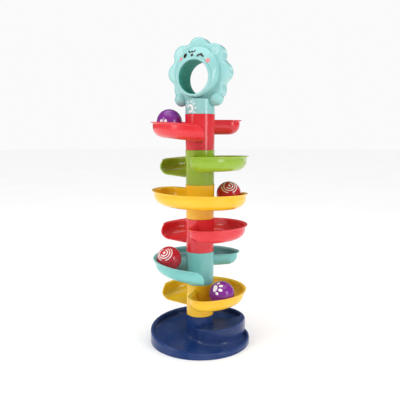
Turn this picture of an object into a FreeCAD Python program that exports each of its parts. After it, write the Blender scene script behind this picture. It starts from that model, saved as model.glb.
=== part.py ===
"""Toddler marble run: six winding ball tracks stacked on a round tray, a lion ring on top.

Millimetres, +Z up.  The origin is the centre of the tray's underside, on the axis of
the tower.  Angles are counter-clockwise seen from above, from +X; the front is -Y.
Every tier is the same moulding: a tapered column with a ball track that winds down
counter-clockwise.  Each tier is turned so that its track catches what the one above
lets go.
"""
import FreeCAD, Part
import math
import os
import re

import Sketcher

V = FreeCAD.Vector

# Driving dimensions, millimetres and degrees.
DRIVING = {
    # the stack
    "joint_base": 54,         # height of the lowest column joint
    "pitch": 63,              # height of one tier
    "tiers": 6,
    "seat_gap": 0.2,          # seam between two stacked columns
    # a column
    "col_top_rad": 26.9,
    "col_bot_rad": 26.1,
    "socket_rad": 23.5,
    "plug_rad": 23.1,
    "plug_bore": 20.7,
    "plug_len": 14,
    # a ball track
    "track_rad": 85.4,        # outside of the wall
    "track_lip": 3.9,         # the lip flares out by this much
    "track_depth": 26.5,
    "track_deepen": 2,        # extra depth at the exit
    "corner_wide": 20,        # the rounding under the wall is a quarter of an ellipse
    "corner_tall": 17.5,
    "track_skin": 2.4,
    "track_top": 9.3,         # rim below the column's top at the closed end
    "track_drop": 7.4,        # fall of the rim
    "track_level": 58,        # the first part of the track is level
    "track_span": 262,
    "track_sink": 3.2,        # extra fall before the exit
    "track_turn": 23,         # plan radius of the closed end's corner
    "track_dip": 3.5,         # the floor dips beside the column at the exit
    "track_overlap": 2,
    # a ball
    "ball_rad": 23.5,
    "ball_skin": 1.8,
    "ball_orbit": 59,         # ball centre from the tower's axis
    "ball_gap": 0.4,          # running gap under a ball
    # the tray
    "tray_rad": 97,
    "tray_rim_width": 6.5,
    "tray_tuck": 5.5,         # the top of the spiral stands inside the tray's edge by this
    "tray_skin": 2.6,
    "tray_start": 10,         # the angle of the step at the top of the spiral
    "tray_corner": 18,        # plan radius in the corner under that step
    "boss_cove": 7,
    "shelf_cove": 8,
    "tray_rim_low": 10.5,
    "tray_rim_rise": 29,
    "tray_floor_low": 4.5,
    "tray_floor_rise": 24.5,
    "boss_rad": 27.2,
    "shelf_from": 222,        # where the raised shelf leaves the boss
    "shelf_inner": 23,
    "shelf_step": 0.3,        # the shelf's wall stands inside the spiral's by this much
    "shelf_low": 33,
    "shelf_rise": 6.5,
    # the neck collar
    "collar_top": 26,
    "collar_rad": 26.4,
    "collar_lid": 3,
    # the head
    "head_mid": 503,          # height of the mane's centre
    "head_yaw": -25,
    "petal_rad": 18,
    "petal_orbit": 41,
    "notch_rad": 10,
    "mane_front": 12,
    "mane_back": 16,
    "mane_round": 5,
    "shell": 2.4,
    "face_rad": 42.5,
    "face_brow": 6,           # the face's rim stands this far in front of the mane
    "face_nose": 15,          # and its inner edge this far
    "face_lip": 35,
    "hole_rad": 29.8,
    "hole_low": 9,            # hole centre below the mane's centre
    "liner_skin": 2.2,
    "liner_front": 28,
    "liner_back": 22,
    "rear_ring_rad": 37,
    "rear_ring": 5,
    "paw_rad": 12.3,
    "paw_side": 34.5,
    "paw_front": 5,
}
# Sizes that follow from the driving ones.
DERIVED = {
    "col_len": "=plug_len + pitch",
    "col_foot": "=plug_len + seat_gap",
    "web_low": "=plug_len + 4",
    "web_high": "=plug_len + 8",
    "collar_len": "=plug_len + collar_top",
    "collar_under": "=plug_len + collar_top - collar_lid",
    "joint_top": "=joint_base + tiers * pitch",
    "neck_height": "=joint_base + tiers * pitch + collar_top",
    "neck_drop": "=head_mid - joint_base - tiers * pitch - collar_top - seat_gap",
    "liner_rad": "=hole_rad + liner_skin",
    "ball_bore": "=ball_rad - ball_skin",
    "petal_in": "=petal_rad - shell",
    "notch_in": "=notch_rad + shell",
    "rear_depth": "=mane_back - shell",
    "front_depth": "=mane_front - shell",
    "face_front": "=mane_front + face_nose",
}
# Angle of each track's closed end, from the bottom tier up.
TRACK_STARTS = (253, 13, 253, 133, 253, 13)
# Each ball: its name, its tier and the angle where it rests.
BALLS = (("ball_1", 1, 313), ("ball_2", 2, 187), ("ball_3", 4, 22), ("ball_4", 6, 163))

doc = FreeCAD.newDocument("marble_run")
sheet = doc.addObject("Spreadsheet::Sheet", "dims")
for row, (alias, value) in enumerate({**DRIVING, **DERIVED}.items(), start=1):
    sheet.set(f"A{row}", alias)
    sheet.set(f"B{row}", str(value))
    sheet.setAlias(f"B{row}", alias)
doc.recompute()

pieces = []


def size(terms):
    """The value of a sum of aliases and numbers such as 'pitch + plug_len - 2'."""
    total = 0.0
    for sign, word in re.findall(r"([+-]?)\s*([a-z_]+|[\d.]+)", terms):
        number = float(word) if word[0].isdigit() else float(sheet.get(word))
        total += -number if sign == "-" else number
    return total


def bound(terms):
    """The same sum as an expression on the sheet."""
    return re.sub(r"([a-z_]+)", r"dims.\1", terms)


def piece(obj, label, placement=None):
    obj.Label = label
    if placement is not None:
        obj.Placement = placement
    pieces.append(obj)
    return obj


def at(x=0.0, y=0.0, z=0.0, turn=0.0):
    return FreeCAD.Placement(V(x, y, z), FreeCAD.Rotation(V(0, 0, 1), turn))


def body_plane(body, role):
    return next(f for f in body.Origin.OriginFeatures if f.Role == role)


def new_sketch(body, name, role, offset=None):
    sketch = body.newObject("Sketcher::SketchObject", name)
    sketch.AttachmentSupport = [(body_plane(body, role), "")]
    sketch.MapMode = "FlatFace"
    if offset:
        sketch.setExpression("AttachmentOffset.Base.z", bound(offset))
        doc.recompute()
    return sketch


def pin(sketch, kind, geo, pos, terms):
    """Fix one coordinate of a point; a zero puts the point on the axis."""
    value = size(terms)
    if abs(value) < 1e-9:
        axis = -2 if kind == "DistanceX" else -1
        sketch.addConstraint(Sketcher.Constraint("PointOnObject", geo, pos, axis))
        return
    index = sketch.addConstraint(Sketcher.Constraint(kind, -1, 1, geo, pos, value))
    sketch.setExpression(f"Constraints[{index}]", bound(terms))


def polygon(sketch, corners):
    """A closed outline whose corners are pairs of sums of aliases."""
    points = [V(size(x), size(y), 0) for x, y in corners]
    count = len(points)
    for k in range(count):
        sketch.addGeometry(Part.LineSegment(points[k], points[(k + 1) % count]), False)
    for k in range(count):
        sketch.addConstraint(Sketcher.Constraint("Coincident", k, 2, (k + 1) % count, 1))
        pin(sketch, "DistanceX", k, 1, corners[k][0])
        pin(sketch, "DistanceY", k, 1, corners[k][1])


def circle(sketch, radius, up="0"):
    geo = sketch.addGeometry(Part.Circle(V(0, size(up), 0), V(0, 0, 1), size(radius)), False)
    index = sketch.addConstraint(Sketcher.Constraint("Radius", geo, size(radius)))
    sketch.setExpression(f"Constraints[{index}]", bound(radius))
    pin(sketch, "DistanceX", geo, 3, "0")
    pin(sketch, "DistanceY", geo, 3, up)


def revolved(name, corners):
    """A body turned about the tower's axis from an outline in radius and height."""
    body = doc.addObject("PartDesign::Body", name)
    sketch = new_sketch(body, name + "_outline", "XZ_Plane")
    polygon(sketch, corners)
    turn = body.newObject("PartDesign::Revolution", name + "_turn")
    turn.Profile = sketch
    turn.ReferenceAxis = (sketch, ["V_Axis"])
    turn.Angle = 360
    body.Tip = turn
    return body


# ---------------------------------------------------------------- columns and collar
def column(name):
    return revolved(name, [
        ("plug_rad", "0"), ("plug_rad", "col_foot"), ("col_bot_rad", "col_foot"),
        ("col_top_rad", "col_len"), ("socket_rad", "col_len"), ("socket_rad", "web_high"),
        ("plug_bore", "web_low"), ("plug_bore", "0")])


def collar(name):
    return revolved(name, [
        ("plug_rad", "0"), ("plug_rad", "col_foot"), ("col_bot_rad", "col_foot"),
        ("collar_rad", "collar_len"), ("0", "collar_len"), ("0", "collar_under"),
        ("plug_bore", "collar_under"), ("plug_bore", "0")])


# ---------------------------------------------------------------- ball tracks
def line(a, b):
    return Part.LineSegment(a, b).toShape()


def arc(a, middle, b):
    return Part.Arc(a, middle, b).toShape()


def quarter_ellipse(centre, wide, tall):
    """From beside the centre, outwards along X, down to the point under it."""
    ellipse = Part.Ellipse(centre + V(wide, 0, 0), centre - V(0, 0, tall), centre)
    return Part.ArcOfEllipse(ellipse, 0, math.pi / 2).toShape()


def polar(radius, angle, z=0.0):
    return V(radius * math.cos(math.radians(angle)), radius * math.sin(math.radians(angle)), z)


def column_radius(z):
    """Outside of the column at a height measured from the level rim of its track."""
    top, foot = size("col_top_rad"), size("col_bot_rad")
    return top + (z - size("track_top")) * (top - foot) / size("pitch")


def track_outline(rim, depth, dip, inner=None):
    """Section of the track in the X-Z plane: lip, wall, rounded corner and floor.

    rim is the height of the lip, and inner the radius where the floor stops, or None
    for the column's own surface.
    """
    wall, lip, skin = size("track_rad"), size("track_lip"), size("track_skin")
    wide, tall = size("corner_wide"), size("corner_tall")
    edge = 1.3
    hem = 3.8
    below = depth - tall

    def q(inwards, down):
        return V(wall - inwards, 0, rim - down)

    under, over = rim - depth - dip, rim - depth - dip + skin
    foot = V(inner or column_radius(under), 0, under)
    head = V(inner or column_radius(over), 0, over)
    tip, tip_low, neck_out, corner_out = q(-lip, 0), q(-lip, edge), q(0, hem), q(0, below)
    floor_out, floor_in = q(wide, depth), q(wide, depth - skin)
    corner_in, neck_in, shoulder = q(skin, below), q(skin, hem), q(-lip / 2, 0)
    centre = q(wide, below)
    return Part.Wire([
        line(tip, tip_low),
        arc(tip_low, q(-1.15, 1.95), neck_out),
        line(neck_out, corner_out),
        quarter_ellipse(centre, wide, tall),
        line(floor_out, foot), line(foot, head), line(head, floor_in),
        quarter_ellipse(centre, wide - skin, tall - skin),
        line(corner_in, neck_in),
        arc(neck_in, q(1.15, 1.15), shoulder),
        line(shoulder, tip)])


def eased(run, ease=0.06):
    """A straight ramp from 0 whose first share is a parabola, so that it has no kink."""
    run = max(0.0, run)
    return run * run / (2 * ease) if run < ease else run - ease / 2


def track_fall(angle):
    """Height of the rim and depth of the track at an angle from its closed end."""
    level, span, sinks = size("track_level"), size("track_span"), 205
    run = eased((angle - level) / (span - level))
    sink = eased((angle - sinks) / (span - sinks), 0.2)
    fall = size("track_drop") * run + size("track_sink") * sink
    return -fall, size("track_depth") + size("track_deepen") * run


def track_dip(angle):
    start, reach = 222, 35
    run = min(1.0, max(0.0, (angle - start) / reach))
    return size("track_dip") * run * run * (3 - 2 * run)


def corner_path(inset):
    """Plan of the closed end, inset from the wall: level arc, rounded corner, end wall."""
    turn, wall = size("track_turn"), size("track_rad")
    level = size("track_level")
    mid_x = math.sqrt((wall - turn) ** 2 - turn ** 2)
    edge = math.degrees(math.atan2(turn, mid_x))
    small = turn - inset
    centre = V(mid_x, turn, 0)
    run_in = polar(wall - inset, level)
    turn_in = polar(wall - inset, edge)
    turn_out = V(mid_x, inset, 0)
    end = V(14, inset, 0)
    return [arc(run_in, polar(wall - inset, (level + edge) / 2), turn_in),
            arc(turn_in, centre + polar(small, edge / 2 - 45), turn_out),
            line(turn_out, end)], run_in, end


def track_shape():
    """One track, its closed end along +X and its level rim at z = 0."""
    level, span, skin = size("track_level"), size("track_span"), size("track_skin")
    depth, corner = size("track_depth"), size("corner_wide")

    sections = []
    steps = 36
    for k in range(steps + 1):
        angle = level + (span - level) * k / steps
        rim, deep = track_fall(angle)
        section = track_outline(rim, deep, track_dip(angle))
        section.rotate(V(), V(0, 0, 1), angle)
        sections.append(section)
    run = Part.makeLoft(sections, True, False)

    path, _, _ = corner_path(0.0)
    hem = size("track_rad") - corner - size("track_overlap")
    section = track_outline(0.0, depth, 0.0, inner=hem)
    section.rotate(V(), V(0, 0, 1), level)
    sweep = Part.BRepOffsetAPI.MakePipeShell(Part.Wire(path))
    sweep.setBiNormalMode(V(0, 0, 1))
    sweep.add(section)
    sweep.build()
    sweep.makeSolid()
    inset = corner + size("track_overlap") / 2
    path, first, last = corner_path(inset)
    hub = polar(15, level)
    plate = Part.Face(Part.Wire(path + [line(last, hub), line(hub, first)]))
    plate = plate.extrude(V(0, 0, skin))
    plate.translate(V(0, 0, -depth))
    low, high = -45.0, 5.0
    core = Part.makeCone(column_radius(low), column_radius(high), high - low, V(0, 0, low))
    core.rotate(V(), V(0, 0, 1), 200)
    closed_end = sweep.shape().fuse(plate).cut(core)

    # the wall's top corner is rounded away at the exit
    rim, _ = track_fall(span)
    back, down = 21, 18
    ring = arc(V(0, -back, 0.3), V(0, -5.8, -5.2), V(0, 0.3, -down))
    far = 6
    trim = Part.Wire([
        line(V(0, -back, far), V(0, -back, 0.3)), ring,
        line(V(0, 0.3, -down), V(0, far, -down)), line(V(0, far, -down), V(0, far, far)),
        line(V(0, far, far), V(0, -back, far))])
    trim = Part.Face(trim).extrude(V(60, 0, 0))
    trim.translate(V(50, 0, rim))
    trim.rotate(V(), V(0, 0, 1), span)
    return run.cut(trim).fuse(closed_end).removeSplitter()


# ---------------------------------------------------------------- tray
def tray_rim_height(angle):
    run = min(1.0, max(0.0, (angle - size("tray_start")) / 260))
    return size("tray_rim_low") + size("tray_rim_rise") * math.cos(run * math.pi / 2)


def tray_floor_height(angle):
    run = (angle - size("tray_start")) / 360
    return size("tray_floor_low") + size("tray_floor_rise") * (1 - run) ** 1.6


def tray_radius(angle):
    """Outside of the wall: tucked in at the top of the spiral, full after 30 degrees."""
    run = min(1.0, max(0.0, (angle - size("tray_start")) / 30))
    return size("tray_rad") - size("tray_tuck") * (1 - run * (2 - run))


def shelf_run(angle):
    start = size("shelf_from")
    return (angle - start) / (360 + size("tray_start") - start)


def shelf_radius(angle):
    inner, outer = size("shelf_inner"), size("tray_rad - tray_tuck - shelf_step")
    return inner + (outer - inner) * shelf_run(angle) ** 1.25


def shelf_height(angle):
    return size("shelf_low") + size("shelf_rise") * shelf_run(angle)


def turned_loft(outline, start, end, step):
    """A solid through upright radial outlines, from one angle to another."""
    count = max(2, math.ceil((end - start) / step))
    sections = []
    for k in range(count + 1):
        angle = start + (end - start) * k / count
        section = outline(angle)
        section.rotate(V(), V(0, 0, 1), angle)
        sections.append(section)
    return Part.makeLoft(sections, True, False)


# Outlines start a little under the floor plane; the underside is cut level afterwards.
UNDER = -1.0


def tray_outline(angle):
    """Section of the floor and rim, with a cove against the boss and one at the rim."""
    wide, rim_wide = tray_radius(angle), size("tray_rim_width")
    rim, floor = tray_rim_height(angle), tray_floor_height(angle)
    half = rim_wide / 2
    hub = 20
    brow = max(rim - half, floor + 1.0)
    cove = min(5.0, (brow - floor) * 0.8)
    inner = wide - rim_wide
    bend = 1 - math.sqrt(0.5)
    boss, foot = size("boss_rad") - 1.5, size("boss_cove") + 1.5
    return Part.Wire([
        line(V(hub, 0, UNDER), V(wide, 0, UNDER)), line(V(wide, 0, UNDER), V(wide, 0, rim - half)),
        arc(V(wide, 0, rim - half), V(wide - half, 0, rim), V(inner, 0, brow)),
        line(V(inner, 0, brow), V(inner, 0, floor + cove)),
        arc(V(inner, 0, floor + cove), V(inner - cove * bend, 0, floor + cove * bend),
            V(inner - cove, 0, floor)),
        line(V(inner - cove, 0, floor), V(boss + foot, 0, floor)),
        arc(V(boss + foot, 0, floor), V(boss + foot * bend, 0, floor + foot * bend),
            V(boss, 0, floor + foot)),
        line(V(boss, 0, floor + foot), V(hub, 0, floor + foot)),
        line(V(hub, 0, floor + foot), V(hub, 0, UNDER))])


def shelf_outline(angle):
    """Section of the raised shelf, with a cove along the foot of its wall."""
    wide, top = shelf_radius(angle), shelf_height(angle)
    floor = tray_floor_height(angle) - 1.2
    hub, edge = 18, 2.0
    room = size("tray_rad - tray_rim_width") - wide
    cove = min(size("shelf_cove"), max(1.0, room * 0.8))
    bend = 1 - math.sqrt(0.5)
    return Part.Wire([
        line(V(hub, 0, UNDER), V(wide + cove, 0, UNDER)),
        line(V(wide + cove, 0, UNDER), V(wide + cove, 0, floor)),
        arc(V(wide + cove, 0, floor), V(wide + cove * bend, 0, floor + cove * bend),
            V(wide, 0, floor + cove)),
        line(V(wide, 0, floor + cove), V(wide, 0, top - edge)),
        arc(V(wide, 0, top - edge), V(wide - edge * bend, 0, top - edge * bend),
            V(wide - edge, 0, top)),
        line(V(wide - edge, 0, top), V(hub, 0, top)), line(V(hub, 0, top), V(hub, 0, UNDER))])


def ledge_outline(angle):
    """The low rim runs on under the tucked-in top of the spiral."""
    wide = size("tray_rad") - 0.3
    rim, half = size("tray_rim_low"), size("tray_rim_width") / 2
    inner = wide - size("tray_rim_width") - 4
    return Part.Wire([
        line(V(inner, 0, UNDER), V(wide, 0, UNDER)), line(V(wide, 0, UNDER), V(wide, 0, rim - half)),
        arc(V(wide, 0, rim - half), V(wide - half * (1 - math.sqrt(0.5)), 0,
            rim - half * (1 - math.sqrt(0.5))), V(wide - half, 0, rim)),
        line(V(wide - half, 0, rim), V(inner, 0, rim)), line(V(inner, 0, rim), V(inner, 0, UNDER))])


def box_outline(inner, outer, top, low=-3.0):
    return Part.makePolygon([V(inner, 0, low), V(outer, 0, low), V(outer, 0, top),
                             V(inner, 0, top), V(inner, 0, low)])


def recess_corner():
    """Fills the corner between the step at the top of the spiral and the rim."""
    turn, reach = size("tray_corner"), size("tray_rad - tray_rim_width") - 2
    out = reach + 1
    mid_x = math.sqrt((reach - turn) ** 2 - turn ** 2)
    edge = math.degrees(math.atan2(turn, mid_x))
    centre = V(mid_x, turn, 0)
    step_in, step_out = V(mid_x, -1, 0), V(out, -1, 0)
    plan = Part.Wire([
        line(step_in, step_out), line(step_out, V(out, 0, 0)),
        arc(V(out, 0, 0), polar(out, edge / 2), polar(out, edge)),
        line(polar(out, edge), polar(reach, edge)),
        arc(polar(reach, edge), centre + polar(turn, edge / 2 - 45), V(mid_x, 0, 0)),
        line(V(mid_x, 0, 0), step_in)])
    low = size("tray_floor_low") + size("tray_floor_rise") - 5
    top = size("shelf_low") + size("shelf_rise")
    corner = Part.Face(plan).extrude(V(0, 0, top - low))
    corner.translate(V(0, 0, low))
    corner.rotate(V(), V(0, 0, 1), size("tray_start"))
    return corner


def tray_shape():
    """The tray: a floor that winds down inside a rim, a raised shelf and the boss."""
    start = size("tray_start")
    skin = size("tray_skin")
    half = start + 180
    boss = Part.makeCylinder(size("boss_rad"), size("joint_base") - UNDER, V(0, 0, UNDER))
    shelf = turned_loft(shelf_outline, size("shelf_from"), start + 360, 8)
    shape = boss.fuse(turned_loft(tray_outline, start, half, 10))
    shape = shape.fuse(turned_loft(tray_outline, half, start + 360, 10))
    shape = shape.fuse(shelf)
    shape = shape.fuse(recess_corner())
    shape = shape.fuse(turned_loft(ledge_outline, start - 4, start + 32, 9))

    # hollow underneath
    hub = size("boss_rad") + 1.4

    def under_floor(angle):
        return box_outline(hub, tray_radius(angle) - skin, tray_floor_height(angle) - skin)

    def under_shelf(angle):
        return box_outline(hub + 1, shelf_radius(angle) - skin, shelf_height(angle) - skin, -4.0)

    shape = shape.cut(turned_loft(under_shelf, 264, start + 356, 8))
    shape = shape.cut(turned_loft(under_floor, start + 2, half, 10))
    shape = shape.cut(turned_loft(under_floor, half, start + 358, 10))
    side = 3 * size("tray_rad")
    below = Part.makeBox(side, side, 5, V(-side / 2, -side / 2, -5))
    bore = Part.makeCylinder(size("socket_rad"), size("joint_base") + 6, V(0, 0, -3))
    return shape.cut(below).cut(bore)


# ---------------------------------------------------------------- head
def petal_outline(sketch, petal, notch):
    """A closed ring of eight round petals with a small tangent arc in each notch."""
    count = 8
    orbit, r_petal, r_notch = size("petal_orbit"), size(petal), size(notch)
    half = math.pi / count
    span = r_petal + r_notch
    far = orbit * math.cos(half) + math.sqrt(span ** 2 - (orbit * math.sin(half)) ** 2)
    lean = math.atan2(far * math.sin(half), far * math.cos(half) - orbit)
    for k in range(count):
        a = 2 * half * k
        centre = V(orbit * math.cos(a), orbit * math.sin(a), 0)
        sketch.addGeometry(Part.ArcOfCircle(
            Part.Circle(centre, V(0, 0, 1), r_petal), a - lean, a + lean), False)
        b = a + half
        dent = V(far * math.cos(b), far * math.sin(b), 0)
        away = half + math.pi - lean
        sketch.addGeometry(Part.ArcOfCircle(
            Part.Circle(dent, V(0, 0, 1), r_notch), b + away, b - away + 2 * math.pi), False)
    for k in range(count):
        geo = 2 * k
        index = sketch.addConstraint(Sketcher.Constraint("Radius", geo, r_petal))
        sketch.setExpression(f"Constraints[{index}]", bound(petal))
        index = sketch.addConstraint(Sketcher.Constraint("Radius", geo + 1, r_notch))
        sketch.setExpression(f"Constraints[{index}]", bound(notch))
        for kind, trig in (("DistanceX", "cos"), ("DistanceY", "sin")):
            turn = 45 * k
            value = orbit * getattr(math, trig)(math.radians(turn))
            if abs(value) < 1e-6:
                axis = -2 if kind == "DistanceX" else -1
                sketch.addConstraint(Sketcher.Constraint("PointOnObject", geo, 3, axis))
                continue
            index = sketch.addConstraint(Sketcher.Constraint(kind, -1, 1, geo, 3, value))
            sketch.setExpression(
                f"Constraints[{index}]", f"dims.petal_orbit * {trig}({turn} deg)")
    for k in range(2 * count):
        nxt = (k + 1) % (2 * count)
        if k % 2 == 0:
            sketch.addConstraint(Sketcher.Constraint("Tangent", k, 2, nxt, 2))
        else:
            sketch.addConstraint(Sketcher.Constraint("Tangent", k, 1, nxt, 1))


def pad(body, sketch, length, reverse=False):
    feature = body.newObject("PartDesign::Pad", sketch.Name + "_pad")
    feature.Profile = sketch
    feature.Reversed = reverse
    feature.Length = size(length)
    feature.setExpression("Length", bound(length))
    body.Tip = feature
    return feature


def pocket(body, sketch, length, reverse):
    doc.recompute()
    before = body.Shape.Volume
    feature = body.newObject("PartDesign::Pocket", sketch.Name + "_cut")
    feature.Profile = sketch
    feature.Reversed = reverse
    feature.Length = size(length)
    feature.setExpression("Length", bound(length))
    body.Tip = feature
    doc.recompute()
    assert body.Shape.Volume < before - 1, sketch.Name
    return feature


def mane_shell(name, front):
    """Half of the mane, open at the parting plane y = 0; the front half faces -Y."""
    body = doc.addObject("PartDesign::Body", name)
    outline = new_sketch(body, name + "_petals", "XZ_Plane")
    petal_outline(outline, "petal_rad", "notch_rad")
    depth = "mane_front" if front else "mane_back"
    pad(body, outline, depth, reverse=not front)
    doc.recompute()
    y_face = -size(depth) if front else size(depth)
    rim = [f"Edge{k}" for k, e in enumerate(body.Shape.Edges, start=1)
           if abs(e.BoundBox.YMin - y_face) < 1e-4 and abs(e.BoundBox.YMax - y_face) < 1e-4]
    solid = body.Tip
    soft = body.newObject("PartDesign::Fillet", name + "_round")
    soft.Base = (solid, rim)
    soft.Radius = size("mane_round")
    soft.setExpression("Radius", "dims.mane_round")
    body.Tip = soft
    if not front:
        ring = new_sketch(body, name + "_ring", "XZ_Plane", offset="0 - mane_back")
        circle(ring, "rear_ring_rad", "0 - hole_low")
        pad(body, ring, "rear_ring", reverse=True)
    inside = new_sketch(body, name + "_inside", "XZ_Plane")
    petal_outline(inside, "petal_in", "notch_in")
    pocket(body, inside, "front_depth" if front else "rear_depth", reverse=front)
    hole = new_sketch(body, name + "_hole", "XZ_Plane")
    circle(hole, "liner_rad", "0 - hole_low")
    pocket(body, hole, "liner_front" if front else "mane_back + rear_ring + 1", reverse=front)
    neck = new_sketch(body, name + "_neck", "XZ_Plane")
    polygon(neck, [("0 - 30", "0 - 90"), ("30", "0 - 90"),
                   ("30", "0 - neck_drop"), ("0 - 30", "0 - neck_drop")])
    pocket(body, neck, "liner_front", reverse=front)
    return body


def face_ring(name):
    """The domed face in front of the mane, its inner edge low and furthest forward."""
    body = doc.addObject("PartDesign::Body", name)
    rims = (("mane_front", "face_rad", "0"), ("mane_front + face_brow", "face_rad - 1.6", "0 - 0.5"),
            ("mane_front + face_nose - 2", "face_lip + 1.2", "0 - 6.4"),
            ("mane_front + face_nose", "face_lip - 0.8", "0 - 7"))
    sketches = []
    for k, (out, radius, up) in enumerate(rims):
        sketch = new_sketch(body, f"{name}_rim_{k}", "XZ_Plane", offset=out)
        circle(sketch, radius, up)
        sketches.append(sketch)
    dome = body.newObject("PartDesign::AdditiveLoft", name + "_dome")
    dome.Profile = sketches[0]
    dome.Sections = sketches[1:]
    dome.Ruled = False
    body.Tip = dome
    hole = new_sketch(body, name + "_hole", "XZ_Plane")
    circle(hole, "liner_rad", "0 - hole_low")
    pocket(body, hole, "liner_front + 20", reverse=True)
    return body


def ring_liner(name):
    """The tube through the head, with its front edge rolled over the face."""
    body = doc.addObject("PartDesign::Body", name)
    outline = new_sketch(body, name + "_outline", "XY_Plane")
    polygon(outline, [("hole_rad", "0 - liner_front"), ("liner_rad", "0 - liner_front"),
                      ("liner_rad", "liner_back"), ("hole_rad", "liner_back")])
    turn = body.newObject("PartDesign::Revolution", name + "_turn")
    turn.Profile = outline
    turn.ReferenceAxis = (outline, ["V_Axis"])
    turn.Angle = 360
    body.Tip = turn
    return body


def paw(name, side):
    ball = doc.addObject("Part::Sphere", name + "_ball")
    ball.setExpression("Radius", "dims.paw_rad")
    ball.setExpression("Placement.Base.x", f"{side} * dims.paw_side")
    ball.setExpression("Placement.Base.y", "-dims.paw_front")
    ball.setExpression("Placement.Base.z", "-dims.neck_drop")
    return ball


def cut(name, base, tool):
    result = doc.addObject("Part::Cut", name)
    result.Base = base
    result.Tool = tool
    return result


def build_head():
    place = at(z=size("head_mid"), turn=size("head_yaw"))
    paws = [paw("paw_left", -1), paw("paw_right", 1)]
    for label, front in (("head_front_shell", True), ("head_back_shell", False)):
        shell = mane_shell(label + "_body", front)
        seats = doc.addObject("Part::MultiFuse", label + "_seats")
        seats.Shapes = [paw(label + "_left", -1), paw(label + "_right", 1)]
        piece(cut(label, shell, seats), label, place)
    piece(face_ring("face_ring_body"), "face_ring", place)
    liner = ring_liner("ring_liner_body")
    piece(liner, "ring_liner", place * at(z=-size("hole_low")))
    for ball, label in zip(paws, ("paw_left", "paw_right")):
        neck = doc.addObject("Part::Cylinder", label + "_neck")
        neck.setExpression("Radius", "dims.collar_rad")
        neck.setExpression("Height", "dims.collar_top")
        neck.setExpression("Placement.Base.z", "-dims.neck_drop - dims.collar_top")
        piece(cut(label, ball, neck), label, place)


# ---------------------------------------------------------------- balls
def floor_height(tier, angle):
    """Top of a tier's track floor where its section is flat."""
    turn = (angle - TRACK_STARTS[tier - 1]) % 360
    rim, depth = track_fall(turn)
    joint = size("joint_base") + size("pitch") * tier
    return joint - size("track_top") + rim - depth + size("track_skin")


def half_ball(name, upper):
    skin = []
    for part, radius in (("outer", "ball_rad"), ("inner", "ball_bore")):
        ball = doc.addObject("Part::Sphere", f"{name}_{part}")
        ball.setExpression("Radius", "dims." + radius)
        skin.append(ball)
    skin[0].Angle1 = 0 if upper else -90
    skin[0].Angle2 = 90 if upper else 0
    return cut(name, *skin)


def build_balls():
    for name, tier, angle in BALLS:
        up = floor_height(tier, angle) + size("ball_rad + ball_gap")
        place = FreeCAD.Placement(polar(size("ball_orbit"), angle, up), FreeCAD.Rotation())
        for half, upper in (("upper_half", True), ("lower_half", False)):
            label = f"{name}_{half}"
            piece(half_ball(label, upper), label, place)


# ---------------------------------------------------------------- the assembly
def fixed_shape(label, shape, placement=None):
    feature = doc.addObject("Part::Feature", label)
    feature.Shape = shape
    piece(feature, label, placement)


def build_tiers():
    track = track_shape()
    for tier, start in enumerate(TRACK_STARTS, start=1):
        foot = size("joint_base") + size("pitch") * (tier - 1)
        piece(column(f"tier_{tier}_column"), f"tier_{tier}_column",
              at(z=foot - size("plug_len")))
        fixed_shape(f"tier_{tier}_track", track.copy(),
                    at(z=foot + size("pitch - track_top"), turn=start))


fixed_shape("base_tray", tray_shape())
build_tiers()
piece(collar("neck_collar"), "neck_collar", at(z=size("joint_top - plug_len")))
build_head()
build_balls()
doc.recompute()

for obj in doc.Objects:
    state = set(getattr(obj, "State", []))
    assert not state & {"Invalid", "Error"}, (obj.Name, obj.State)
os.makedirs("parts", exist_ok=True)
for obj in pieces:
    shape = obj.Shape
    assert not shape.isNull() and shape.isValid(), obj.Label
    assert len(shape.Solids) == 1, (obj.Label, len(shape.Solids))
    shape.exportStep(os.path.join("parts", obj.Label + ".step"))
    box = shape.BoundBox
    print(f"{obj.Label:20s} {shape.Volume / 1000:8.2f} cm3  x {box.XMin:7.1f} {box.XMax:7.1f}"
          f"  y {box.YMin:7.1f} {box.YMax:7.1f}  z {box.ZMin:7.1f} {box.ZMax:7.1f}")
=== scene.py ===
"""The looks of a toddler's marble-run tower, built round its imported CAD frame.

The mouldings are the CAD nodes with glossy moulded-plastic materials.  The marks that
are pad-printed on the toy (the face, the ear spirals, the sun on the collar, the paw
prints and rings on the balls) are thin films that lie on the CAD surfaces.  Metres and
the row frame throughout; the marks are drawn in millimetres in their own plane.
"""
import math

import bmesh
import bpy
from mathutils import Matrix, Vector
from mathutils.bvhtree import BVHTree


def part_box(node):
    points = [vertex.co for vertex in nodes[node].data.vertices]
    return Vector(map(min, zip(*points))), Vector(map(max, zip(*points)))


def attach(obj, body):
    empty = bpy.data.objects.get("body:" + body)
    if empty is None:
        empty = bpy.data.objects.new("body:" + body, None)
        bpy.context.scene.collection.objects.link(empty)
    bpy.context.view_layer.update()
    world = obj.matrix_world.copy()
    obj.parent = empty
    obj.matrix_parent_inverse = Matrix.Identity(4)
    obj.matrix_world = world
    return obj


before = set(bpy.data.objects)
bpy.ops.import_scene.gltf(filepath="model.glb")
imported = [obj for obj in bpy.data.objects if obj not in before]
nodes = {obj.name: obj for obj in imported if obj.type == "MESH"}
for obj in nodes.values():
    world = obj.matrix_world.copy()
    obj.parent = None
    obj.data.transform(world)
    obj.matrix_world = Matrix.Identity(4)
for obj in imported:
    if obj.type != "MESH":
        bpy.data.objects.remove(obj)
bpy.context.view_layer.update()
scene = bpy.context.scene

MM = 0.001
UP = Vector((0, 0, 1))
IMAGE_SIDE = 400

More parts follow.
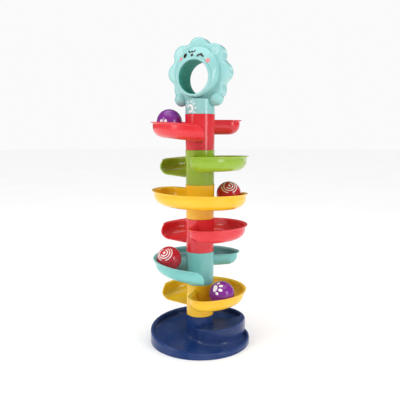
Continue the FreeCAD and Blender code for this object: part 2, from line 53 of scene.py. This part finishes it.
# ------------------------------------------------------------------ places in the frame
COLLAR_LOW, COLLAR_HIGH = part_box("neck_collar")
_, MANE_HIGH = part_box("head_front_shell")
HEAD_YAW = math.radians(-25)
HEAD_RIGHT = Vector((math.cos(HEAD_YAW), math.sin(HEAD_YAW), 0))
HEAD_BACK = Vector((-math.sin(HEAD_YAW), math.cos(HEAD_YAW), 0))
MANE_RADIUS = 59 * MM
HEAD_MIDDLE = Vector((0, 0, MANE_HIGH.z - MANE_RADIUS))


def ball_box(ball):
    """Centre and radius of a ball from the boxes of its two halves."""
    low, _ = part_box(ball + "_lower_half")
    _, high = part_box(ball + "_upper_half")
    return (low + high) / 2, (high.x - low.x) / 2


# ------------------------------------------------------------------ camera
CAMERA_DISTANCE = 0.8964      # in front of the tower's axis
CAMERA_HEIGHT = 0.3949
CAMERA_DOWN = math.radians(11.99)
CAMERA_LENS = 43.36           # on a 36 mm sensor
CAMERA_SHIFT = 37.77          # pixels that the optical axis lies below the middle


def make_camera():
    data = bpy.data.cameras.new("camera")
    data.sensor_width = 36
    data.lens = CAMERA_LENS
    data.shift_y = CAMERA_SHIFT / IMAGE_SIDE
    data.clip_start, data.clip_end = 0.02, 60
    camera = bpy.data.objects.new("camera", data)
    camera.location = (0, -CAMERA_DISTANCE, CAMERA_HEIGHT)
    camera.rotation_euler = (math.pi / 2 - CAMERA_DOWN, 0, 0)
    scene.collection.objects.link(camera)
    scene.camera = camera


# ------------------------------------------------------------------ materials
def new_material(name):
    material = bpy.data.materials.new(name)
    material.use_nodes = True
    tree = material.node_tree
    return material, tree, tree.nodes["Principled BSDF"]


def node(tree, kind, inputs=None, **settings):
    """A node with its properties and unlinked inputs set."""
    made = tree.nodes.new(kind)
    for key, value in settings.items():
        setattr(made, key, value)
    for key, value in (inputs or {}).items():
        made.inputs[key].default_value = value
    return made


def noise(tree, coords, scale, detail=2.0, roughness=0.5):
    made = node(tree, "ShaderNodeTexNoise",
                {"Scale": scale, "Detail": detail, "Roughness": roughness})
    tree.links.new(coords.outputs["Object"], made.inputs["Vector"])
    return made.outputs["Fac"]


def spread(tree, value, low, high, start=0.3, end=0.7):
    """A value from start..end mapped to low..high."""
    made = node(tree, "ShaderNodeMapRange", {"From Min": start, "From Max": end,
                                             "To Min": low, "To Max": high})
    tree.links.new(value, made.inputs["Value"])
    return made.outputs["Result"]


def mixed(tree, factor, first, second):
    """A colour mix; first and second are colours or sockets."""
    made = node(tree, "ShaderNodeMix", data_type="RGBA", blend_type="MIX")
    tree.links.new(factor, made.inputs["Factor"])
    for socket, value in ((made.inputs[6], first), (made.inputs[7], second)):
        if isinstance(value, bpy.types.NodeSocket):
            tree.links.new(value, socket)
        else:
            socket.default_value = (*value, 1)
    return made.outputs[2]


def bumped(tree, height, distance, normal=None):
    made = node(tree, "ShaderNodeBump", {"Strength": 1.0, "Distance": distance})
    tree.links.new(height, made.inputs["Height"])
    if normal is not None:
        tree.links.new(normal, made.inputs["Normal"])
    return made.outputs["Normal"]


def edges(tree, radius):
    """(normal rounded over sharp edges, mask that is 1 on those edges)."""
    bevel = node(tree, "ShaderNodeBevel", {"Radius": radius}, samples=6)
    geometry = node(tree, "ShaderNodeNewGeometry")
    dot = node(tree, "ShaderNodeVectorMath", operation="DOT_PRODUCT")
    tree.links.new(bevel.outputs["Normal"], dot.inputs[0])
    tree.links.new(geometry.outputs["Normal"], dot.inputs[1])
    return bevel.outputs["Normal"], spread(tree, dot.outputs["Value"], 1.0, 0.0, 0.55, 0.97)


def tinted(colour, share, towards=(1, 1, 1)):
    return tuple(c + (t - c) * share for c, t in zip(colour, towards))


PAINTED_EDGE_HIGHLIGHT = 0.14             # how far the painted edge highlight takes sharp edges towards white, at most
GLOW = 0.05                   # share of light that scatters inside the plastic


def plastic(name, colour, roughness, shine):
    """Glossy moulded plastic: slow pigment flow, a painted highlight that pales sharp edges,
    faint orange peel.
    """
    material, tree, shader = new_material(name)
    coords = node(tree, "ShaderNodeTexCoord")

    flow = spread(tree, noise(tree, coords, 22, 3.0), 0.0, 1.0)
    deep = tuple(c * 0.93 for c in colour)
    body = mixed(tree, flow, deep, tinted(colour, 0.03))
    speck = spread(tree, noise(tree, coords, 900, 1.0), 0.0, 0.05, 0.55, 0.75)
    body = mixed(tree, speck, body, tinted(colour, 0.3))
    round_normal, edge = edges(tree, 0.5 * MM)
    # painted highlight: sharp edges are lightened towards white, by a randomly varying amount
    painted_edge_highlight = node(tree, "ShaderNodeMath", operation="MULTIPLY")
    tree.links.new(edge, painted_edge_highlight.inputs[0])
    tree.links.new(spread(tree, noise(tree, coords, 140, 2.0), PAINTED_EDGE_HIGHLIGHT / 2, PAINTED_EDGE_HIGHLIGHT),
                   painted_edge_highlight.inputs[1])
    body = mixed(tree, painted_edge_highlight.outputs["Value"], body, tinted(colour, 0.75))
    tree.links.new(body, shader.inputs["Base Color"])

    smear = spread(tree, noise(tree, coords, 75, 4.0, 0.65), roughness * 0.8, roughness * 1.3)
    tree.links.new(smear, shader.inputs["Roughness"])

    sink = bumped(tree, noise(tree, coords, 45, 1.0), 0.12 * MM, round_normal)
    peel = bumped(tree, noise(tree, coords, 1100, 1.0), 0.005 * MM, sink)
    tree.links.new(peel, shader.inputs["Normal"])
    shader.inputs["IOR"].default_value = 1.5
    shader.inputs["Specular IOR Level"].default_value = shine
    shader.inputs["Subsurface Weight"].default_value = GLOW
    shader.inputs["Subsurface Radius"].default_value = (1.0, 0.6, 0.4)
    shader.inputs["Subsurface Scale"].default_value = 2 * MM
    shader.inputs["Coat Weight"].default_value = shine / 3
    shader.inputs["Coat Roughness"].default_value = 0.06
    return material


def ink(name, colour, roughness=0.35):
    """Pad-printed ink: a thin satin film with slightly uneven cover."""
    material, tree, shader = new_material(name)
    coords = node(tree, "ShaderNodeTexCoord")
    cover = spread(tree, noise(tree, coords, 600, 3.0), 0.0, 1.0)
    tree.links.new(mixed(tree, cover, tuple(c * 0.93 for c in colour), colour),
                   shader.inputs["Base Color"])
    tree.links.new(spread(tree, noise(tree, coords, 250, 2.0), roughness * 0.85,
                          roughness * 1.2), shader.inputs["Roughness"])
    tree.links.new(bumped(tree, noise(tree, coords, 1500, 1.0), 0.004 * MM),
                   shader.inputs["Normal"])
    return material


def matt_floor():
    material, tree, shader = new_material("studio_floor")
    coords = node(tree, "ShaderNodeTexCoord")
    grain = spread(tree, noise(tree, coords, 3, 3.0), 0.0, 1.0)
    tree.links.new(mixed(tree, grain, (0.92, 0.92, 0.92), (0.94, 0.94, 0.94)),
                   shader.inputs["Base Color"])
    shader.inputs["Roughness"].default_value = 0.6
    shader.inputs["Specular IOR Level"].default_value = 0.2
    return material


# the record's slots: colour, roughness, shine
PLASTICS = {
    "navy": ((0.004, 0.032, 0.155), 0.20, 0.22),
    "yellow": ((0.95, 0.55, 0.006), 0.18, 0.40),
    "red": ((0.76, 0.016, 0.028), 0.18, 0.40),
    "green": ((0.29, 0.46, 0.010), 0.18, 0.40),
    "teal": ((0.19, 0.56, 0.53), 0.18, 0.40),
    "light_teal": ((0.32, 0.645, 0.63), 0.18, 0.40),
    # painted shade: deep_teal is a darker, duller copy of the head's teal that stands for the
    # shade inside the hole
    "deep_teal": ((0.022, 0.31, 0.235), 0.45, 0.05),
    "purple": ((0.21, 0.012, 0.28), 0.12, 0.45),
    "ball_red": ((0.56, 0.004, 0.022), 0.14, 0.45),
}
INKS = {
    "white_ink": (0.96, 0.96, 0.96),
    "pale_ink": (0.62, 0.86, 0.84),
    "dark_ink": (0.018, 0.008, 0.008),
    "blush_ink": (0.80, 0.30, 0.31),
}


def dress_nodes():
    """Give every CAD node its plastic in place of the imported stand-in."""
    made = {slot: plastic("plastic_" + slot, *looks) for slot, looks in PLASTICS.items()}
    for piece in nodes.values():
        for place in piece.material_slots:
            place.material = made[place.material.name.split(".")[0]]
    return made


# ------------------------------------------------------------------ lip of the hole
LIP_FORWARD = 27.6 * MM       # the lip's middle stands this far in front of the mane's
LIP_RADIUS = 30.7 * MM
LIP_THICK = 2.4 * MM


def make_hole_lip(material):
    """A soft round lip on the face, over the front edge of the liner."""
    low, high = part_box("ring_liner")
    centre = Vector((0, 0, (low.z + high.z) / 2)) - HEAD_BACK * LIP_FORWARD
    turns, sides = 96, 16
    points, faces = [], []
    for k in range(turns):
        angle = 2 * math.pi * k / turns
        out = HEAD_RIGHT * math.cos(angle) + UP * math.sin(angle)
        for j in range(sides):
            lean = 2 * math.pi * j / sides
            points.append(centre + out * (LIP_RADIUS + LIP_THICK * math.cos(lean))
                          + HEAD_BACK * LIP_THICK * math.sin(lean))
            here, on = k * sides, (k + 1) % turns * sides
            faces.append((here + j, on + j, on + (j + 1) % sides, here + (j + 1) % sides))
    mesh = bpy.data.meshes.new("hole_lip")
    mesh.from_pydata(points, [], faces)
    for face in mesh.polygons:
        face.use_smooth = True
    mesh.materials.append(material)
    lip = bpy.data.objects.new("hole_lip", mesh)
    scene.collection.objects.link(lip)
    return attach(lip, "head")


# ------------------------------------------------------------------ printed marks
FILM_TOP = 0.10 * MM          # the print's face stands this far off the moulding
FILM_THICK = 0.16 * MM


def ribbon(path, half_width, lanes=4):
    """Grid of points along a path of (x, y), each row across it, and its faces.

    half_width is a function of the share of the path from 0 to 1.
    """
    points, faces = [], []
    rows = len(path)
    for k, (x, y) in enumerate(path):
        before, after = path[max(0, k - 1)], path[min(rows - 1, k + 1)]
        along = Vector((after[0] - before[0], after[1] - before[1])).normalized()
        wide = half_width(k / (rows - 1))
        for lane in range(lanes + 1):
            side = wide * (2 * lane / lanes - 1)
            points.append((x - along.y * side, y + along.x * side))
    for k in range(rows - 1):
        for lane in range(lanes):
            a = k * (lanes + 1) + lane
            faces.append((a, a + lanes + 1, a + lanes + 2, a + 1))
    return points, faces


def stroke(path, width, taper=1.0):
    """A drawn line with round ends; taper is its far end's share of the width."""
    length = sum(math.dist(a, b) for a, b in zip(path, path[1:]))
    cap = min(0.5, width / 2 / length)

    def half(share):
        thin = 1 + (taper - 1) * share
        near = min(share, 1 - share) / cap
        return width / 2 * thin * math.sqrt(max(0.0, 1 - (1 - min(1.0, near)) ** 2))

    return ribbon(path, half)


def oval(x, y, wide, tall, turn=0.0):
    """A filled oval with half-axes wide and tall, turned counter-clockwise."""
    count = 22
    angle = math.radians(turn)
    path = []
    for k in range(count + 1):
        reach = -tall * math.cos(math.pi * k / count)
        path.append((x - math.sin(angle) * reach, y + math.cos(angle) * reach))
    return ribbon(path, lambda share: wide * math.sin(math.pi * round(share * count) / count),
                  lanes=8)


def curve_path(points, count=24):
    """Points spaced along a smooth curve through a few given ones (Catmull-Rom)."""
    ends = [points[0], *points, points[-1]]
    path = []
    for k in range(len(points) - 1):
        p0, p1, p2, p3 = (Vector(p) for p in ends[k:k + 4])
        steps = max(2, count // (len(points) - 1))
        for step in range(steps + (k == len(points) - 2)):
            t = step / steps
            path.append(tuple(0.5 * ((2 * p1) + (p2 - p0) * t
                                     + (2 * p0 - 5 * p1 + 4 * p2 - p3) * t * t
                                     + (3 * p1 - p0 - 3 * p2 + p3) * t * t * t)))
    return path


def arc_path(x, y, radius, start, end, grow=0.0):
    """Points on an arc in degrees; grow is added to the radius by its end."""
    count = max(8, int(abs(end - start) / 6))
    path = []
    for k in range(count + 1):
        share = k / count
        angle = math.radians(start + (end - start) * share)
        reach = radius + grow * share
        path.append((x + reach * math.cos(angle), y + reach * math.sin(angle)))
    return path


def print_mark(name, shapes, surface, body, material):
    """Lay flat shapes on a surface as a closed film that rides on a body.

    surface turns (x, y) in metres into a point and its outward normal.
    """
    points, faces = [], []
    for shape_points, shape_faces in shapes:
        base = len(points)
        for x, y in shape_points:
            place, out = surface(x * MM, y * MM)
            points.append(place + out * FILM_TOP)
        faces += [tuple(base + k for k in face) for face in shape_faces]
    mesh = bpy.data.meshes.new(name)
    mesh.from_pydata(points, [], faces)
    mark = bpy.data.objects.new(name, mesh)
    scene.collection.objects.link(mark)
    weld_and_thicken(mark)
    mesh.materials.append(material)
    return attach(mark, body)


def weld_and_thicken(mark):
    work = bmesh.new()
    work.from_mesh(mark.data)
    bmesh.ops.remove_doubles(work, verts=work.verts, dist=0.004 * MM)
    bmesh.ops.dissolve_degenerate(work, edges=work.edges, dist=0.002 * MM)
    bmesh.ops.recalc_face_normals(work, faces=work.faces)
    work.to_mesh(mark.data)
    work.free()
    for face in mark.data.polygons:
        face.use_smooth = True
    film = mark.modifiers.new("film", "SOLIDIFY")
    film.thickness = FILM_THICK
    film.offset = -1


def on_sphere(centre, radius, towards, top):
    """Surface of a ball about a direction; top is roughly the mark's upright."""
    out = Vector(towards).normalized()
    right = Vector(top).cross(out).normalized()
    upright = out.cross(right)

    def surface(x, y):
        reach = math.hypot(x, y)
        if reach < 1e-9:
            return centre + out * radius, out
        angle = reach / radius
        side = (right * x + upright * y) / reach
        ray = out * math.cos(angle) + side * math.sin(angle)
        return centre + ray * radius, ray

    return surface


def on_collar(azimuth, height):
    """Surface of the neck collar about a height and an azimuth from the front."""
    target = BVHTree.FromObject(nodes["neck_collar"], bpy.context.evaluated_depsgraph_get())
    radius = (COLLAR_HIGH.x - COLLAR_LOW.x) / 2

    def surface(x, y):
        angle = azimuth + x / radius
        ray = Vector((math.sin(angle), -math.cos(angle), 0))
        place, normal, _, _ = target.ray_cast(ray * 2 * radius + UP * (height + y), -ray)
        return place, normal if normal.dot(ray) > 0 else -normal

    return surface


def on_head(target_name):
    """Surface of a head part seen along the head's own axis, about the mane's middle."""
    target = BVHTree.FromObject(nodes[target_name], bpy.context.evaluated_depsgraph_get())

    def surface(x, y):
        start = HEAD_MIDDLE + HEAD_RIGHT * x + UP * y - HEAD_BACK * 0.2
        place, normal, _, _ = target.ray_cast(start, HEAD_BACK)
        return place, normal if normal.dot(HEAD_BACK) < 0 else -normal

    return surface


def print_face(inks):
    """Eye, nose, mouth, wink and cheeks, in millimetres from the mane's middle."""
    face = on_head("face_ring")
    mouth = [stroke(curve_path([(-11.6, 36.0), (-10.0, 32.8), (-7.2, 31.8), (-4.6, 34.2)]), 2.2),
             stroke(curve_path([(-4.6, 34.2), (-2.6, 32.2), (0.0, 33.0), (1.6, 36.0)]), 2.2)]
    wink = [stroke(curve_path([(6.8, 23.9), (9.2, 26.4), (12.2, 27.4), (15.0, 29.2)]), 4.0, 0.7),
            stroke(curve_path([(11.6, 26.9), (15.4, 25.8), (18.8, 22.6)]), 3.3, 0.8)]
    nose = [oval(-2.9, 27.2, 2.7, 2.3), stroke([(-3.1, 26.5), (-3.3, 25.0), (-3.6, 23.4)], 1.3)]
    dark = inks["dark_ink"]
    print_mark("print_eye", [oval(-17.0, 26.9, 3.5, 4.2, -14)], face, "head", dark)
    print_mark("print_nose", nose, face, "head", dark)
    print_mark("print_mouth", mouth, face, "head", dark)
    print_mark("print_wink", wink, face, "head", dark)
    print_mark("print_cheek_right", [oval(26.0, 16.4, 4.0, 4.0)], face, "head",
               inks["blush_ink"])
    print_mark("print_cheek_left", [oval(-25.4, 22.0, 3.2, 3.4)], face, "head",
               inks["blush_ink"])


def print_ears(inks):
    """A faint spiral on each upper petal."""
    mane = on_head("head_front_shell")
    for side, x, y, size in (("right", 34.6, 34.2, 5.4), ("left", -33.4, 35.6, 5.2)):
        ring = stroke(arc_path(x, y, size, 100, 440), 1.1)
        curl = stroke(arc_path(x, y, size * 0.62, -60, 300, -size * 0.42), 1.0)
        print_mark("print_ear_" + side, [ring, curl], mane, "head", inks["pale_ink"])


SUN_AZIMUTH = math.radians(-43.8)     # from the front, to the viewer's left
SUN_BELOW_TOP = 16.7 * MM


def print_sun(inks):
    """A plain sun: a thick ring and six rays, on the collar's front left."""
    collar = on_collar(SUN_AZIMUTH, COLLAR_HIGH.z - SUN_BELOW_TOP)
    shapes = [stroke(arc_path(0, 0, 5.7, -130, 175), 3.5)]
    for ray in range(6):
        angle = math.radians(-33 + 36.5 * ray)
        path = [(r * math.cos(angle), r * math.sin(angle)) for r in (9.6, 11.2, 12.8, 14.4)]
        shapes.append(stroke(path, 2.5))
    print_mark("print_sun", shapes, collar, "head", inks["white_ink"])


def paw_shapes():
    """A paw print: a bean-shaped pad and four toes above it."""
    pad = ribbon([(-7.4 + 14.8 * k / 20, 0) for k in range(21)],
                 lambda share: 4.6 * math.sqrt(max(0.0, 1 - (2 * share - 1) ** 2)), lanes=8)
    bent = [(x, y - 0.030 * x * x + 1.0) for x, y in pad[0]]
    shapes = [(bent, pad[1])]
    for turn, reach, wide, tall in ((62, 12.4, 2.4, 3.2), (20, 13.2, 2.9, 3.9),
                                    (-20, 13.2, 2.9, 3.9), (-62, 12.4, 2.4, 3.2)):
        angle = math.radians(turn)
        shapes.append(oval(-reach * math.sin(angle), reach * math.cos(angle) - 1.0,
                           wide, tall, turn * 0.6))
    return shapes


def ring_shapes():
    """Broken rings round a dot, like a drop's ripples."""
    return [oval(0, 0, 2.3, 2.3),
            stroke(arc_path(0, 0, 6.6, -150, 95), 1.7),
            stroke(arc_path(0, 0, 11.0, 120, 440), 1.7),
            stroke(arc_path(0, 0, 15.2, 165, 262), 1.7),
            stroke(arc_path(0, 0, 15.2, -70, 62), 1.7)]


def print_balls(inks):
    """Each ball's mark, the way it faces and which way is up on it."""
    marks = (("ball_1", paw_shapes(), (-0.57, -0.526, 0.631), (0.52, -0.19, 0.07)),
             ("ball_2", ring_shapes(), (-0.36, -0.667, 0.657), (0, 0, 1)),
             ("ball_3", ring_shapes(), (0.01, -0.658, 0.75), (0, 0, 1)),
             ("ball_4", paw_shapes(), (-0.38, -0.82, -0.43), (0, 0, 1)))
    for ball, shapes, towards, top in marks:
        centre, radius = ball_box(ball)
        print_mark("print_" + ball, shapes, on_sphere(centre, radius, towards, top), ball,
                   inks["white_ink"])


def print_marks():
    inks = {name: ink(name, colour) for name, colour in INKS.items()}
    print_face(inks)
    print_ears(inks)
    print_sun(inks)
    print_balls(inks)


# ------------------------------------------------------------------ studio
def make_floor():
    """A wide pale floor; only the ground the tower stands on."""
    radius, count = 14.0, 96
    rings = (0.0, 0.3, 1.0, 4.0, radius)
    points = [(0, 0, 0)]
    faces = []
    for ring in rings[1:]:
        points += [(ring * math.cos(2 * math.pi * k / count),
                    ring * math.sin(2 * math.pi * k / count), 0) for k in range(count)]
    for k in range(count):
        nxt = (k + 1) % count
        faces.append((0, 1 + k, 1 + nxt))
        for ring in range(len(rings) - 2):
            inner, outer = 1 + ring * count, 1 + (ring + 1) * count
            faces.append((inner + k, outer + k, outer + nxt, inner + nxt))
    mesh = bpy.data.meshes.new("studio_floor")
    mesh.from_pydata(points, [], faces)
    mesh.materials.append(matt_floor())
    floor = bpy.data.objects.new("studio_floor", mesh)
    floor.location.z = -0.2 * MM
    scene.collection.objects.link(floor)


def softbox(name, place, aim, wide, tall, power):
    data = bpy.data.lights.new(name, "AREA")
    data.shape = "RECTANGLE"
    data.size, data.size_y = wide, tall
    data.energy = power
    lamp = bpy.data.objects.new(name, data)
    lamp.location = place
    lamp.rotation_mode = "QUATERNION"
    lamp.rotation_quaternion = (Vector(aim) - Vector(place)).to_track_quat("-Z", "Y")
    scene.collection.objects.link(lamp)


def overhead(power, spread_angle):
    """A very soft light from straight above, the same all over the floor."""
    data = bpy.data.lights.new("overhead", "SUN")
    data.energy = power
    data.angle = math.radians(spread_angle)
    lamp = bpy.data.objects.new("overhead", data)
    lamp.location.z = 3
    scene.collection.objects.link(lamp)


def make_world(ambient, reflected, backdrop):
    """White surroundings: as a light, as seen in glossy plastic and behind the tower."""
    world = bpy.data.worlds.new("studio")
    world.use_nodes = True
    tree = world.node_tree
    path = node(tree, "ShaderNodeLightPath")
    light = tree.nodes["Background"]
    light.inputs["Color"].default_value = (1, 1, 1, 1)
    light.inputs["Strength"].default_value = ambient
    last = light.outputs["Background"]
    for ray, strength in (("Is Glossy Ray", reflected), ("Is Camera Ray", backdrop)):
        other = node(tree, "ShaderNodeBackground",
                     {"Color": (1, 1, 1, 1), "Strength": strength})
        choose = node(tree, "ShaderNodeMixShader")
        tree.links.new(path.outputs[ray], choose.inputs["Fac"])
        tree.links.new(last, choose.inputs[1])
        tree.links.new(other.outputs["Background"], choose.inputs[2])
        last = choose.outputs["Shader"]
    tree.links.new(last, tree.nodes["World Output"].inputs["Surface"])
    scene.world = world


def make_studio():
    middle = (0, 0, 0.3)
    softbox("softbox_left", (-1.35, -0.75, 0.95), middle, 0.45, 1.1, 9)
    softbox("softbox_right", (1.25, -1.05, 0.65), middle, 0.45, 0.9, 7.5)
    softbox("strip_back", (0.95, 1.1, 0.8), middle, 0.3, 1.2, 1.2)
    overhead(1.7, 70)
    make_world(0.58, 0.14, 0.96)
    scene.view_settings.view_transform = "Standard"


make_camera()
plastics = dress_nodes()
make_hole_lip(plastics["light_teal"])
print_marks()
make_floor()
make_studio()

bpy.context.view_layer.update()
